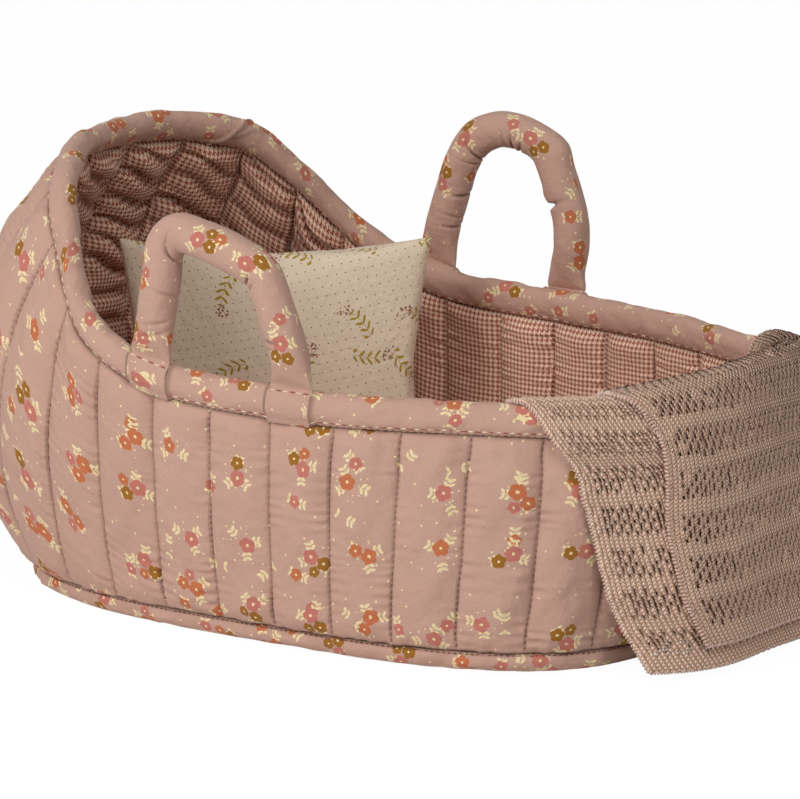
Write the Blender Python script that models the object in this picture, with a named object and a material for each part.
"""A doll's soft quilted carrycot with two padded handles, a pillow and a knitted blanket.

Metres. +X points to the foot end, -Y to the near side, +Z up.
The origin is the middle of the underside of the base.
"""

import math

import bmesh
import bpy
import numpy as np
from mathutils import Matrix, Vector

# Clearance between pieces that touch
SEAT_GAP = 0.0003

# Base panel
BASE_HALF_LENGTH = 0.1815
BASE_HALF_WIDTH = 0.1285
BASE_ROUNDNESS = 3.1
BASE_CLOTH = 0.0012
BASE_UNDER_INSET = 0.0055
BASE_UNDER_RISE = 0.0040
BOARD_THICKNESS = 0.0030
BOARD_INSET = 0.0070
BASE_PAD_THICKNESS = 0.0048
BASE_PAD_INSET = 0.0040
BASE_LINING_THICKNESS = 0.0010
BASE_LINING_INSET = 0.0016

# Rim, the crest line of the padded binding
RIM_FOOT_REACH = 0.2130
RIM_HEAD_REACH = 0.1700
RIM_HALF_WIDTH = 0.1335
RIM_HEIGHT = 0.1340
HOOD_RISE = 0.0930
RIM_OUTLINE_SHARES = (
    (1.00, 0.00, 0.00),
    (0.965, 0.35, 0.00),
    (0.80, 0.63, 0.00),
    (0.41, 0.89, 0.00),
    (0.14, 0.98, 0.00),
    (-0.29, 1.00, 0.05),
    (-0.57, 0.965, 0.27),
    (-0.74, 0.76, 0.68),
    (-0.83, 0.60, 0.89),
    (-0.95, 0.30, 0.99),
    (-1.00, 0.00, 1.00),
)

# Quilted wall
CHANNEL_COUNT = 32
CHANNEL_FACES = 3
SEAM_PHASE_SHARE = 0.40
WALL_SIDE_BULGE = 0.0045
WALL_HEAD_BULGE = 0.0480
BULGE_START = -0.0300
BULGE_RUN = 0.1200
COVER_CLOTH = 0.0008
LINING_CLOTH = 0.0008
SEAM_WADDING = 0.0014
COVER_PUFF = 0.0048
LINING_PUFF = 0.0038
WALL_ROW_SHARES = (0.0, 0.14, 0.36, 0.60, 0.84, 1.0)
PUFF_ROW_SHARES = (0.0, 0.85, 1.0, 1.0, 0.85, 0.0, 0.0)

# Rim binding
BINDING_DEPTH = 0.0158
BINDING_TOP = 0.0040
BINDING_HALF_THICKNESS = 0.0064
BINDING_LIP = 0.0012
BINDING_SECTION_SHARES = ((0.62, 1.00), (0.20, 0.86), (0.00, 0.42))

# Handles
HANDLE_TUBE = 0.0195
HANDLE_CLOTH = 0.0008
HANDLE_FOOT_WIDTH = 0.0235
HANDLE_FOOT_THICKNESS = 0.0024
HANDLE_SIDES = 8
HANDLE_HEAD_X = -0.0560
HANDLE_FOOT_X = 0.0255
NEAR_HANDLE_RISE = 0.0640
FAR_HANDLE_RISE = 0.0775
HANDLE_FOOT_LIFT = 0.0013
TAB_CLOTH = 0.0008
TAB_LIFT = 0.0006
TAB_OVERHANG = 0.0016
TAB_TOP_SHARE = -0.08
# Along the spacing from the head leg, up the rise, and the tube's fullness there
NEAR_HANDLE_SHARES = (
    (0.00, 0.00, 0.00),
    (0.01, 0.14, 0.55),
    (0.03, 0.34, 0.95),
    (0.05, 0.62, 1.00),
    (0.06, 0.86, 0.90),
    (0.15, 1.00, 0.84),
    (0.32, 0.99, 1.00),
    (0.54, 0.93, 1.00),
    (0.73, 0.84, 0.92),
    (0.81, 0.70, 0.96),
    (0.89, 0.47, 1.00),
    (0.96, 0.25, 0.90),
    (0.99, 0.10, 0.50),
    (1.00, 0.00, 0.00),
)
FAR_HANDLE_SHARES = (
    (0.00, 0.00, 0.00),
    (0.01, 0.12, 0.55),
    (0.03, 0.27, 0.92),
    (0.08, 0.51, 1.00),
    (0.14, 0.72, 0.95),
    (0.24, 0.91, 0.88),
    (0.41, 1.00, 1.00),
    (0.61, 1.00, 0.95),
    (0.77, 0.93, 0.88),
    (0.88, 0.75, 1.00),
    (0.98, 0.53, 0.90),
    (1.01, 0.31, 1.00),
    (1.00, 0.12, 0.55),
    (1.00, 0.00, 0.00),
)

# Pillow, standing on the base lining and facing the near foot corner
PILLOW_WIDTH = 0.1680
PILLOW_HEIGHT = 0.1560
PILLOW_CROWN = 0.0380
PILLOW_CROWN_POWER = 2.6
PILLOW_CLOTH = 0.0008
PILLOW_WAIST = 0.0035
PILLOW_X = -0.0975
PILLOW_Y = 0.0400
PILLOW_TURN = 33.0
PILLOW_LEAN = 5.0
PILLOW_GRID_SHARES = (-1.0, -0.93, -0.76, -0.5, -0.18, 0.18, 0.5, 0.76, 0.93, 1.0)

# Blanket, folded in two over the near foot corner
BLANKET_KNIT = 0.0026
BLANKET_CLEARANCE = 0.0010
BLANKET_PLY_GAP = 0.0018
BLANKET_WIDTH = 0.2000
BLANKET_LOWER_START = 0.1490
BLANKET_UPPER_START = 0.1060
BLANKET_LOWER_SLANT = 0.0700
BLANKET_UPPER_SLANT = 0.0500
BLANKET_LOWER_HEM = 0.0050
BLANKET_UPPER_HEM = 0.0170
BLANKET_INSIDE_DROP = 0.0600
BLANKET_SHOULDER = 0.0060
BLANKET_SHOULDER_SHARE = 0.65
BLANKET_FLARE = 0.0080
BLANKET_RIPPLE = 0.0025
BLANKET_RIPPLES = 2.5
BLANKET_STATIONS = 20
BLANKET_HANG_SHARES = ((1.0, 1.0), (0.8, 0.84), (0.5, 0.67), (0.22, 0.38), (0.08, 0.0))
BLANKET_INSIDE_SHARES = (0.16, 0.5, 1.0)

CURVE_STEPS = 24
TURN_SHARE = 0.25
SHARP_ANGLE = 50.0


def clear_scene():
    for thing in list(bpy.data.objects):
        bpy.data.objects.remove(thing, do_unlink=True)


def make_material(name, colour, roughness):
    material = bpy.data.materials.new(name)
    material.use_nodes = True
    shader = material.node_tree.nodes["Principled BSDF"]
    shader.inputs["Base Color"].default_value = (*colour, 1.0)
    shader.inputs["Roughness"].default_value = roughness
    return material


def make_materials():
    return {
        "print_cotton": make_material("print_cotton", (0.58, 0.37, 0.29), 0.85),
        "check_cotton": make_material("check_cotton", (0.49, 0.33, 0.28), 0.85),
        "wadding": make_material("wadding", (0.85, 0.84, 0.80), 0.95),
        "board": make_material("board", (0.45, 0.36, 0.25), 0.80),
        "pillow_cotton": make_material("pillow_cotton", (0.74, 0.65, 0.50), 0.85),
        "knit_cotton": make_material("knit_cotton", (0.44, 0.33, 0.26), 0.92),
    }


def finish_object(name, mesh_builder, material, origin=None, parent=None):
    """Turns a filled bmesh into an object, measured from its parent's origin where one is given."""
    bmesh.ops.triangulate(mesh_builder, faces=mesh_builder.faces[:], quad_method="FIXED")
    bmesh.ops.recalc_face_normals(mesh_builder, faces=mesh_builder.faces[:])
    mesh = bpy.data.meshes.new(name)
    mesh_builder.to_mesh(mesh)
    mesh_builder.free()
    if origin is not None:
        mesh.transform(Matrix.Translation(-Vector(origin)))
    mesh.shade_smooth()
    mesh.set_sharp_from_angle(angle=math.radians(SHARP_ANGLE))
    mesh.materials.append(material)
    thing = bpy.data.objects.new(name, mesh)
    bpy.context.collection.objects.link(thing)
    if parent is not None:
        thing.parent = parent


def add_grid(mesh_builder, points, closed, flipped=False, turned_rows=()):
    """Adds rows of points as faces; pieces that nest split each quad along the same diagonal."""
    grid = []
    for row in points:
        grid.append([mesh_builder.verts.new(point) for point in row])
    column_count = len(grid[0])
    last = column_count if closed else column_count - 1
    for row, (low, high) in enumerate(zip(grid, grid[1:])):
        for column in range(last):
            after = (column + 1) % column_count
            corners = [low[column], low[after], high[after], high[column]]
            if flipped:
                corners = [corners[0], corners[3], corners[2], corners[1]]
            if row in turned_rows:
                corners = corners[1:] + corners[:1]
            mesh_builder.faces.new(corners)
    return grid


def join_edges(mesh_builder, first, second, closed):
    """Fills the strip between two rows of vertices."""
    count = len(first)
    last = count if closed else count - 1
    for index in range(last):
        after = (index + 1) % count
        mesh_builder.faces.new([first[index], first[after], second[after], second[index]])


def wall_solid(front, back, closed):
    """A closed wall between a front and a back grid of points."""
    mesh_builder = bmesh.new()
    front_grid = add_grid(mesh_builder, front, closed)
    back_grid = add_grid(mesh_builder, back, closed, flipped=True)
    join_edges(mesh_builder, front_grid[0], back_grid[0], closed)
    join_edges(mesh_builder, front_grid[-1], back_grid[-1], closed)
    if not closed:
        for column in (0, -1):
            front_edge = [row[column] for row in front_grid]
            back_edge = [row[column] for row in back_grid]
            join_edges(mesh_builder, front_edge, back_edge, closed)
    return mesh_builder


def ring_solid(rings):
    """A solid lofted through rings, with a flat cap on its first and last ring."""
    mesh_builder = bmesh.new()
    grid = add_grid(mesh_builder, rings, closed=True)
    mesh_builder.faces.new(grid[0])
    mesh_builder.faces.new(grid[-1])
    return mesh_builder


def closed_spline(points):
    """A smooth closed ring through the given points."""
    count = len(points)
    steps = np.linspace(0.0, 1.0, CURVE_STEPS, endpoint=False)[:, None]
    pieces = []
    for index in range(count):
        before, start, end, after = (points[(index + shift) % count] for shift in (-1, 0, 1, 2))
        linear = end - before
        square = 2.0 * before - 5.0 * start + 4.0 * end - after
        cube = 3.0 * start - before - 3.0 * end + after
        pieces.append(start + 0.5 * (linear * steps + square * steps**2 + cube * steps**3))
    return np.vstack(pieces)


def ring_lengths(ring):
    """The distance along a closed ring to each point and back to the first."""
    closed_ring = np.vstack([ring, ring[:1]])
    return np.concatenate([[0.0], np.cumsum(np.linalg.norm(np.diff(closed_ring, axis=0), axis=1))])


def along_ring(ring, shares):
    """The points of a closed ring at shares of its length."""
    lengths = ring_lengths(ring)
    closed_ring = np.vstack([ring, ring[:1]])
    places = np.mod(shares, 1.0) * lengths[-1]
    return np.stack([np.interp(places, lengths, closed_ring[:, axis]) for axis in range(3)], axis=1)


def level_outward(ring, shares):
    """Level directions pointing out of a ring at shares of its length."""
    step = TURN_SHARE / CHANNEL_COUNT
    run = along_ring(ring, shares + step) - along_ring(ring, shares - step)
    outward = np.stack([run[:, 1], -run[:, 0], np.zeros(len(run))], axis=1)
    return outward / np.linalg.norm(outward, axis=1)[:, None]


def base_ring(inset, height):
    """The base outline, drawn in by an inset."""
    angles = np.linspace(0.0, 2.0 * np.pi, CURVE_STEPS * CURVE_STEPS, endpoint=False)
    cosine = np.abs(np.cos(angles) / (BASE_HALF_LENGTH - inset)) ** BASE_ROUNDNESS
    sine = np.abs(np.sin(angles) / (BASE_HALF_WIDTH - inset)) ** BASE_ROUNDNESS
    radius = (cosine + sine) ** (-1.0 / BASE_ROUNDNESS)
    return np.stack([radius * np.cos(angles), radius * np.sin(angles), np.full_like(angles, height)], axis=1)


def rim_ring():
    """The crest of the rim, from the foot end round the far side and the hood."""
    half = []
    for along, across, rise in RIM_OUTLINE_SHARES:
        reach = RIM_FOOT_REACH if along > 0.0 else RIM_HEAD_REACH
        half.append((along * reach, across * RIM_HALF_WIDTH, RIM_HEIGHT + rise * HOOD_RISE))
    mirrored = [(x, -y, z) for x, y, z in reversed(half[1:-1])]
    return closed_spline(np.array(half + mirrored))


def seam_height():
    layers = BASE_CLOTH + BOARD_THICKNESS + BASE_PAD_THICKNESS + BASE_LINING_THICKNESS
    return layers + 4.0 * SEAT_GAP


def smooth_step(value):
    value = np.clip(value, 0.0, 1.0)
    return value * value * (3.0 - 2.0 * value)


class WallForm:
    """The smooth middle surface of the quilted wall, from the base seam up to the rim's crest."""

    def __init__(self):
        self.base = base_ring(0.0, seam_height())
        self.rim = rim_ring()
        self.rim_length = ring_lengths(self.rim)[-1]

    def curves(self, shares):
        """Start, bulge and end points of the wall's upright curves, and the outward directions."""
        start = along_ring(self.base, shares)
        end = along_ring(self.rim, shares)
        outward = level_outward(self.base, shares)
        head = smooth_step((BULGE_START - start[:, 0]) / BULGE_RUN) * np.abs(outward[:, 0])
        bulge = WALL_SIDE_BULGE + (WALL_HEAD_BULGE - WALL_SIDE_BULGE) * head
        middle = (start + end) / 2.0 + 2.0 * bulge[:, None] * outward
        return start, middle, end, outward

    def upright_curves(self, shares):
        """Points down each upright curve, from the crest to the base seam."""
        start, middle, end, _ = self.curves(shares)
        steps = np.linspace(0.0, 1.0, CURVE_STEPS + 1)[:, None, None]
        return (1.0 - steps) ** 2 * end + 2.0 * steps * (1.0 - steps) * middle + steps**2 * start

    def points(self, shares, depths):
        """Points on the middle surface at depths along the wall below the crest."""
        curve = self.upright_curves(shares)
        lengths = np.linalg.norm(np.diff(curve, axis=0), axis=2)
        places = np.vstack([np.zeros(len(shares)), np.cumsum(lengths, axis=0)])
        result = np.empty((len(shares), 3))
        for column in range(len(shares)):
            for axis in range(3):
                result[column, axis] = np.interp(depths[column], places[:, column], curve[:, column, axis])
        return result

    def heights(self, shares):
        """The length of the wall from the crest down to the base seam."""
        return np.linalg.norm(np.diff(self.upright_curves(shares), axis=0), axis=2).sum(axis=0)

    def frame(self, shares, depths):
        """Points and outward normals of the middle surface."""
        centre = self.points(shares, depths)
        side = 0.5 / (CHANNEL_COUNT * CHANNEL_FACES)
        along = self.points(shares + side, depths) - self.points(shares - side, depths)
        up = self.points(shares, depths - SEAM_WADDING) - self.points(shares, depths + SEAM_WADDING)
        normal = np.cross(along, up)
        normal /= np.linalg.norm(normal, axis=1)[:, None]
        return centre, normal


def wall_rows(form, shares):
    """Middle points and normals for each row of the wall, from the base seam to the top edge."""
    heights = form.heights(shares)
    free = heights - BINDING_DEPTH
    rows = []
    for row_share in WALL_ROW_SHARES:
        rows.append(form.frame(shares, heights - row_share * free))
    rows.append(form.frame(shares, np.full(len(shares), BINDING_TOP)))
    _, _, _, outward = form.curves(shares)
    rows[0] = (rows[0][0], outward)
    return rows


def panel_shares(first_channel, faces, joint_share):
    """Shares of the ring's length for half the channels, drawn in a little at both joining seams."""
    count = CHANNEL_COUNT // 2
    places = np.arange(count * faces + 1) / faces
    places[0] += joint_share
    places[-1] -= joint_share
    return (first_channel + SEAM_PHASE_SHARE + places) / CHANNEL_COUNT


def channel_puff(column_count, faces):
    """How full a channel is at each column: empty at a seam, full between seams."""
    return np.abs(np.sin(np.pi * np.arange(column_count) / faces))


def layer_grid(rows, offset, puff, columns):
    """The wall's points moved out by an offset, and by a puff that fades towards the top and bottom."""
    grid = []
    for (centre, normal), row_puff in zip(rows, PUFF_ROW_SHARES):
        distance = offset + puff * row_puff * columns
        grid.append(centre + normal * distance[:, None])
    return grid


def build_wall(form, materials):
    """The near and far halves of the quilted wall: printed cover, wadding and checked lining."""
    joint_share = SEAT_GAP / 2.0 * CHANNEL_COUNT / form.rim_length
    half_wadding = SEAM_WADDING / 2.0
    cover_in = half_wadding + SEAT_GAP
    lining_out = -half_wadding - SEAT_GAP
    layers = (
        ("wall_cover", cover_in + COVER_CLOTH, COVER_PUFF, cover_in, COVER_PUFF, "print_cotton"),
        ("wall_wadding", half_wadding, COVER_PUFF, -half_wadding, -LINING_PUFF, "wadding"),
        ("wall_lining", lining_out, -LINING_PUFF, lining_out - LINING_CLOTH, -LINING_PUFF, "check_cotton"),
    )
    for side, first_channel in (("far", 0), ("near", CHANNEL_COUNT // 2)):
        shares = panel_shares(first_channel, CHANNEL_FACES, joint_share)
        rows = wall_rows(form, shares)
        columns = channel_puff(len(shares), CHANNEL_FACES)
        for layer, front_offset, front_puff, back_offset, back_puff, slot in layers:
            front = layer_grid(rows, front_offset, front_puff, columns)
            back = layer_grid(rows, back_offset, back_puff, columns)
            finish_object(f"{side}_{layer}", wall_solid(front, back, closed=False), materials[slot])


def build_base(materials):
    """The shallow bottom panel with its stiffener, padding and lining stacked inside."""
    shares = np.arange(CHANNEL_COUNT * 2) / (CHANNEL_COUNT * 2)

    def ring(inset, height):
        return along_ring(base_ring(inset, height), shares)

    lip = SEAM_WADDING / 2.0 + SEAT_GAP + COVER_CLOTH
    top = seam_height() - SEAT_GAP
    cover_rings = [
        ring(BASE_UNDER_INSET - lip, 0.0),
        ring(-lip / 2.0, BASE_UNDER_RISE),
        ring(-lip, top),
        ring(BASE_CLOTH - lip, top),
        ring(BASE_UNDER_INSET - lip / 2.0, BASE_CLOTH + SEAT_GAP),
        ring(BASE_UNDER_INSET, BASE_CLOTH),
    ]
    finish_object("base_cover", ring_solid(cover_rings), materials["print_cotton"])
    floor = BASE_CLOTH + SEAT_GAP
    board = [ring(BOARD_INSET, floor), ring(BOARD_INSET, floor + BOARD_THICKNESS)]
    finish_object("base_board", ring_solid(board), materials["board"])
    floor += BOARD_THICKNESS + SEAT_GAP
    pad = [ring(BASE_PAD_INSET, floor), ring(BASE_PAD_INSET, floor + BASE_PAD_THICKNESS)]
    finish_object("base_wadding", ring_solid(pad), materials["wadding"])
    floor += BASE_PAD_THICKNESS + SEAT_GAP
    lining = [ring(BASE_LINING_INSET, floor), ring(BASE_LINING_INSET, floor + BASE_LINING_THICKNESS)]
    finish_object("base_lining", ring_solid(lining), materials["check_cotton"])


def binding_edge():
    """How far off the wall's middle surface the inside of the binding starts."""
    return SEAM_WADDING / 2.0 + SEAT_GAP + COVER_CLOTH + SEAT_GAP


def binding_levels(form, shares):
    """Frames of the rim's crest, the wall's top edge and the binding's lower edge."""
    count = len(shares)
    crest = form.frame(shares, np.zeros(count) + SEAT_GAP)
    top = form.frame(shares, np.full(count, BINDING_TOP))
    low = form.frame(shares, np.full(count, BINDING_DEPTH))
    return crest, top, low


def binding_point(levels, depth_share, offset):
    """Points of the binding at a share of its depth and a distance off the middle surface."""
    crest, top, low = levels
    top_share = BINDING_TOP / BINDING_DEPTH
    if depth_share < top_share:
        first, second = crest, top
        weight = depth_share / top_share
    else:
        first, second = top, low
        weight = (depth_share - top_share) / (1.0 - top_share)
    centre = first[0] * (1.0 - weight) + second[0] * weight
    normal = first[1] * (1.0 - weight) + second[1] * weight
    return centre + normal * offset


def build_binding(form, materials):
    """The padded band folded over the wall's top edge, all the way round the rim and the hood."""
    count = CHANNEL_COUNT * CHANNEL_FACES
    shares = (np.arange(count) / CHANNEL_FACES + SEAM_PHASE_SHARE) / CHANNEL_COUNT
    levels = binding_levels(form, shares)
    edge = binding_edge()
    top_share = (BINDING_TOP - SEAT_GAP) / BINDING_DEPTH
    outer = [(1.0, edge + BINDING_LIP)]
    outer += [(depth, width * BINDING_HALF_THICKNESS) for depth, width in BINDING_SECTION_SHARES]
    inner = [(depth, -offset) for depth, offset in reversed(outer)]
    channel = [(1.0, edge), (top_share, edge), (top_share, -edge), (1.0, -edge)]
    skin = [binding_point(levels, depth, offset) for depth, offset in outer + inner]
    inside = [binding_point(levels, depth, offset) for depth, offset in channel]
    mesh_builder = bmesh.new()
    skin_grid = add_grid(mesh_builder, skin, closed=True)
    inside_grid = add_grid(mesh_builder, inside, closed=True, turned_rows=(len(inside) - 2,))
    join_edges(mesh_builder, skin_grid[0], inside_grid[0], closed=True)
    join_edges(mesh_builder, skin_grid[-1], inside_grid[-1], closed=True)
    finish_object("rim_binding", mesh_builder, materials["print_cotton"])


def share_at_x(form, place, near):
    """The share of the rim's length where the crest passes an x place on one side."""
    lengths = ring_lengths(form.rim)[:-1] / form.rim_length
    side = form.rim[:, 1] < 0.0 if near else form.rim[:, 1] > 0.0
    ring = form.rim[side]
    order = np.argsort(ring[:, 0])
    return float(np.interp(place, ring[order, 0], lengths[side][order]))


def tab_shares(centre_share, length):
    """The tab's two edges and every binding column between them."""
    half = HANDLE_FOOT_WIDTH / 2.0 / length
    column = 1.0 / (CHANNEL_COUNT * CHANNEL_FACES)
    phase = SEAM_PHASE_SHARE / CHANNEL_COUNT
    first = math.ceil((centre_share - half - phase) / column)
    last = math.floor((centre_share + half - phase) / column)
    inside = [index * column + phase for index in range(first, last + 1)]
    return np.array([centre_share - half] + inside + [centre_share + half])


def build_tab(form, name, centre_share, materials):
    """A handle's flattened end, sewn down over the outer side of the binding."""
    shares = tab_shares(centre_share, form.rim_length)
    column = 1.0 / (CHANNEL_COUNT * CHANNEL_FACES)
    phase = SEAM_PHASE_SHARE / CHANNEL_COUNT
    below = np.floor((shares - phase) / column)
    weight = ((shares - phase) / column - below)[:, None]
    edge = binding_edge() + BINDING_LIP
    section = [(1.0 + TAB_OVERHANG / BINDING_DEPTH, edge), (1.0, edge)]
    section += [(depth, width * BINDING_HALF_THICKNESS) for depth, width in BINDING_SECTION_SHARES]
    section.append((TAB_TOP_SHARE, section[-1][1]))

    def grid(lift):
        before = binding_levels(form, below * column + phase)
        after = binding_levels(form, (below + 1.0) * column + phase)
        rows = []
        for depth, offset in section:
            first = binding_point(before, depth, offset + lift)
            second = binding_point(after, depth, offset + lift)
            rows.append(first * (1.0 - weight) + second * weight)
        return rows

    tab = wall_solid(grid(TAB_LIFT + TAB_CLOTH), grid(TAB_LIFT), closed=False)
    finish_object(name, tab, materials["print_cotton"])


def handle_feet(form, near):
    """The middles of the top edges of a handle's two tabs, and how the crest runs there."""
    feet = []
    runs = []
    offset = BINDING_SECTION_SHARES[-1][1] * BINDING_HALF_THICKNESS + TAB_LIFT + TAB_CLOTH / 2.0
    for place in (HANDLE_HEAD_X, HANDLE_FOOT_X):
        share = share_at_x(form, place, near)
        half = HANDLE_FOOT_WIDTH / 2.0 / form.rim_length
        levels = binding_levels(form, np.array([share, share - half, share + half]))
        points = binding_point(levels, TAB_TOP_SHARE, offset)
        feet.append(points[0])
        runs.append((points[2] - points[1]) * (1.0 if near else -1.0))
    return feet, runs


def handle_section(centre, along, fullness, outward, wall):
    """A ring round the tube: flat and wide at the foot, round where the tube is full."""
    tube = HANDLE_TUBE / 2.0
    width = HANDLE_FOOT_WIDTH / 2.0 * (1.0 - fullness) + tube * fullness - wall
    depth = HANDLE_FOOT_THICKNESS / 2.0 * (1.0 - fullness) + tube * fullness - wall
    across = np.cross(outward, along)
    ring = []
    for side in range(HANDLE_SIDES):
        angle = 2.0 * math.pi * (side + 0.5) / HANDLE_SIDES
        ring.append(centre + across * (width * math.cos(angle)) + outward * (depth * math.sin(angle)))
    return ring


def build_handle(form, name, near, rise, path_shares, materials):
    """A stuffed tube hinged along the outer top edges of its two sewn tabs."""
    (head_foot, foot_foot), crest_runs = handle_feet(form, near)
    line = foot_foot - head_foot
    spacing = np.linalg.norm(line)
    line /= spacing
    upright = np.array([0.0, 0.0, 1.0]) - line * line[2]
    upright /= np.linalg.norm(upright)
    outward = np.cross(line, upright)
    start = head_foot + upright * HANDLE_FOOT_LIFT
    path = []
    for along, up, fullness in path_shares:
        path.append((start + line * (along * spacing) + upright * (up * rise), fullness))
    centres = np.array([point for point, _ in path])
    runs = np.gradient(centres, axis=0)
    runs[0] = np.cross(crest_runs[0], -outward)
    runs[-1] = np.cross(crest_runs[1], outward)
    runs -= np.outer(runs @ outward, outward)
    runs /= np.linalg.norm(runs, axis=1)[:, None]
    hinge = (head_foot + foot_foot) / 2.0 + outward * (TAB_CLOTH if near else -TAB_CLOTH) / 2.0
    pivot = bpy.data.objects.new(f"{name}_pivot", None)
    pivot.location = hinge
    bpy.context.collection.objects.link(pivot)

    def rings(wall):
        result = []
        for (centre, fullness), run in zip(path, runs):
            result.append(handle_section(centre, run, fullness, outward, wall))
        return result

    cover = wall_solid(rings(0.0), rings(HANDLE_CLOTH), closed=True)
    finish_object(f"{name}_cover", cover, materials["print_cotton"], origin=hinge, parent=pivot)
    core = ring_solid(rings(HANDLE_CLOTH + SEAT_GAP))
    finish_object(f"{name}_wadding", core, materials["wadding"], origin=hinge, parent=pivot)
    print(name, "hinge", np.round(hinge, 5), "axis", np.round(line, 5))


def pillow_half_thickness(across, up):
    """The pillow's crown: full in the middle and drawn in to nothing at its edges."""
    fullness = (1.0 - abs(across) ** PILLOW_CROWN_POWER) * (1.0 - abs(up) ** PILLOW_CROWN_POWER)
    return PILLOW_CROWN / 2.0 * math.sqrt(max(fullness, 0.0))


def pillow_point(across, up, offset):
    """A point of the pillow in its own frame, with the edges drawn in between the corners."""
    half_width = PILLOW_WIDTH / 2.0 - PILLOW_WAIST * (1.0 - up**2)
    half_height = PILLOW_HEIGHT / 2.0 - PILLOW_WAIST * (1.0 - across**2)
    return (across * half_width, offset, up * half_height)


def pillow_grid(offset, side, shares):
    """Rows of points over one face of the pillow; side is -1 in front and 1 behind."""
    rows = []
    for up in shares:
        row = []
        for across in shares:
            row.append(pillow_point(across, up, side * (pillow_half_thickness(across, up) + offset)))
        rows.append(row)
    return rows


def pillow_placing(floor):
    """The turn, lean and seat of the pillow, so that its lowest point rests on the base lining."""
    turn = Matrix.Rotation(math.radians(PILLOW_TURN), 4, "Z")
    lean = Matrix.Rotation(math.radians(-PILLOW_LEAN), 4, "X")
    rotation = turn @ lean
    lowest = 0.0
    for side in (-1.0, 1.0):
        for row in pillow_grid(SEAT_GAP / 2.0 + PILLOW_CLOTH, side, PILLOW_GRID_SHARES):
            lowest = min([lowest] + [(rotation @ Vector(point)).z for point in row])
    location = Vector((PILLOW_X, PILLOW_Y, floor + SEAT_GAP - lowest))
    return location, rotation


def build_pillow(materials):
    """Front and back panels sewn round the edge over a filling."""
    floor = seam_height() - SEAT_GAP
    location, rotation = pillow_placing(floor)
    seat = bpy.data.objects.new("pillow_seat", None)
    seat.location = location
    seat.rotation_euler = rotation.to_euler()
    bpy.context.collection.objects.link(seat)
    half_gap = SEAT_GAP / 2.0
    for name, side in (("pillow_front", -1.0), ("pillow_back", 1.0)):
        outer = pillow_grid(half_gap + PILLOW_CLOTH, side, PILLOW_GRID_SHARES)
        inner = pillow_grid(half_gap, side, PILLOW_GRID_SHARES)
        panel = wall_solid(outer, inner, closed=False)
        finish_object(name, panel, materials["pillow_cotton"], parent=seat)
    inside = PILLOW_GRID_SHARES[1:-1]
    front, back = (pillow_grid(-SEAT_GAP, side, inside) for side in (-1.0, 1.0))
    finish_object("pillow_filling", wall_solid(front, back, closed=False), materials["wadding"], parent=seat)


def blanket_path(form, lower, place_share):
    """One ply of the blanket across the rim, from the outside hem over the crest to the fold inside.

    lower is True for the ply that lies on the cot, and False for the one folded back over it.
    """
    ply = 0.0 if lower else BLANKET_KNIT + BLANKET_PLY_GAP
    start = BLANKET_LOWER_START if lower else BLANKET_UPPER_START
    along = -start + place_share * BLANKET_WIDTH
    points = hanging_points(form, lower, along, ply)
    share = np.array([along / form.rim_length])
    (crest,), (normal,) = form.frame(share, np.array([SEAT_GAP]))
    (below,), _ = form.frame(share, np.array([BINDING_TOP]))
    rising = (crest - below) / np.linalg.norm(crest - below)
    clear = BINDING_HALF_THICKNESS + BLANKET_CLEARANCE + BLANKET_KNIT / 2.0 + ply
    crest_lift = BLANKET_CLEARANCE + BLANKET_KNIT / 2.0 + ply
    shoulder = clear * math.cos(math.pi / 4.0)
    for sideways in (shoulder, 0.0, -shoulder):
        lift = crest_lift if sideways == 0.0 else crest_lift * BLANKET_SHOULDER_SHARE
        points.append(tuple(crest + normal * sideways + rising * lift))
    fold_start = (BLANKET_LOWER_START + BLANKET_UPPER_START) / 2.0
    depths = [BLANKET_INSIDE_DROP * depth_share for depth_share in BLANKET_INSIDE_SHARES]
    for index, depth_share in enumerate(BLANKET_INSIDE_SHARES):
        drawn = along + (start - fold_start) * depth_share
        share = np.array([drawn / form.rim_length])
        crest, outward = rim_station(form, share)
        reach = inside_reaches(form, share, depths[:index + 1])[-1]
        inside = crest - outward * (reach + ply)
        points.append((inside[0], inside[1], crest[2] - depths[index]))
    return points


def hanging_points(form, lower, along, ply):
    """The outside of a ply, from its hem up to the rim, on one rippled surface that both plies share."""
    slant = BLANKET_LOWER_SLANT if lower else BLANKET_UPPER_SLANT
    hem = BLANKET_LOWER_HEM if lower else BLANKET_UPPER_HEM
    points = []
    for drop_share, slide_share in BLANKET_HANG_SHARES:
        place = along + slant * slide_share
        share = np.array([place / form.rim_length])
        crest, outward = rim_station(form, share)
        low = hem + (crest[2] - BLANKET_SHOULDER - hem) * (1.0 - drop_share)
        fall = 1.0 - low / crest[2]
        wave = math.sin(2.0 * math.pi * BLANKET_RIPPLES * place / BLANKET_WIDTH)
        reach = hang_reach(form, share) + ply + BLANKET_FLARE * fall**2
        reach += BLANKET_RIPPLE * fall * (wave + 1.0)
        points.append((crest[0] + outward[0] * reach, crest[1] + outward[1] * reach, low))
    return points


def hang_reach(form, share):
    """How far outside the crest the blanket hangs, clear of the binding and the fullest channel."""
    crest, outward = rim_station(form, share)
    cover = SEAM_WADDING / 2.0 + SEAT_GAP + COVER_CLOTH + COVER_PUFF
    reach = BINDING_HALF_THICKNESS
    height = form.heights(share)[0]
    for depth_share in WALL_ROW_SHARES[1:]:
        centre, normal = form.frame(share, np.array([depth_share * height]))
        reach = max(reach, float((centre[0] + normal[0] * cover - crest) @ outward))
    return reach + BLANKET_CLEARANCE + BLANKET_KNIT / 2.0


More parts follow.
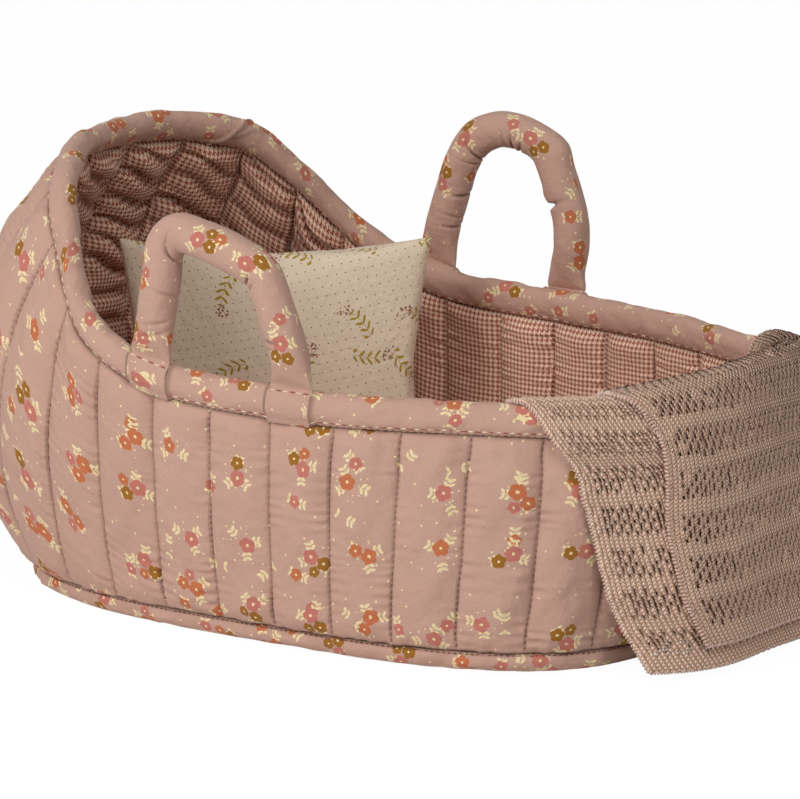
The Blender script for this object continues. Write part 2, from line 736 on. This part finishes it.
def inside_reaches(form, share, depths):
    """How far inside the crest the blanket hangs at each depth, never further out than above."""
    crest, outward = rim_station(form, share)
    lining = LINING_PUFF + LINING_CLOTH + SEAM_WADDING / 2.0 + SEAT_GAP
    cover = max(BINDING_HALF_THICKNESS, lining)
    reach = 0.0
    reaches = []
    for depth in depths:
        centre, normal = form.frame(share, np.array([depth]))
        reach = max(reach, float((crest - centre[0] + normal[0] * cover) @ outward))
        reaches.append(reach + BLANKET_CLEARANCE + BLANKET_KNIT / 2.0)
    return reaches


def rim_station(form, share):
    """The crest point and the level outward direction at a share of the rim."""
    return along_ring(form.rim, share)[0], level_outward(form.rim, share)[0]


def build_blanket(form, materials):
    """A knitted blanket folded in two, its fold inside the cot and both hems hanging outside."""
    columns = []
    for station in range(BLANKET_STATIONS):
        place_share = station / (BLANKET_STATIONS - 1)
        lower = blanket_path(form, True, place_share)
        upper = blanket_path(form, False, place_share)
        fold = (np.array(lower[-1]) + np.array(upper[-1])) / 2.0 - np.array([0.0, 0.0, BLANKET_KNIT])
        columns.append(lower + [tuple(fold)] + upper[::-1])
    middle = np.array(columns).transpose(1, 0, 2)
    along = np.gradient(middle, axis=1)
    down = np.gradient(middle, axis=0)
    normal = np.cross(along, down)
    normal /= np.linalg.norm(normal, axis=2)[:, :, None]
    half = BLANKET_KNIT / 2.0
    blanket = wall_solid(middle + normal * half, middle - normal * half, closed=False)
    finish_object("blanket", blanket, materials["knit_cotton"])


def main():
    clear_scene()
    materials = make_materials()
    form = WallForm()
    build_base(materials)
    build_wall(form, materials)
    build_binding(form, materials)
    for side, near in (("near", True), ("far", False)):
        for end, place in (("head", HANDLE_HEAD_X), ("foot", HANDLE_FOOT_X)):
            share = share_at_x(form, place, near)
            build_tab(form, f"{side}_handle_tab_{end}", share, materials)
    build_handle(form, "near_handle", True, NEAR_HANDLE_RISE, NEAR_HANDLE_SHARES, materials)
    build_handle(form, "far_handle", False, FAR_HANDLE_RISE, FAR_HANDLE_SHARES, materials)
    build_pillow(materials)
    build_blanket(form, materials)


main()
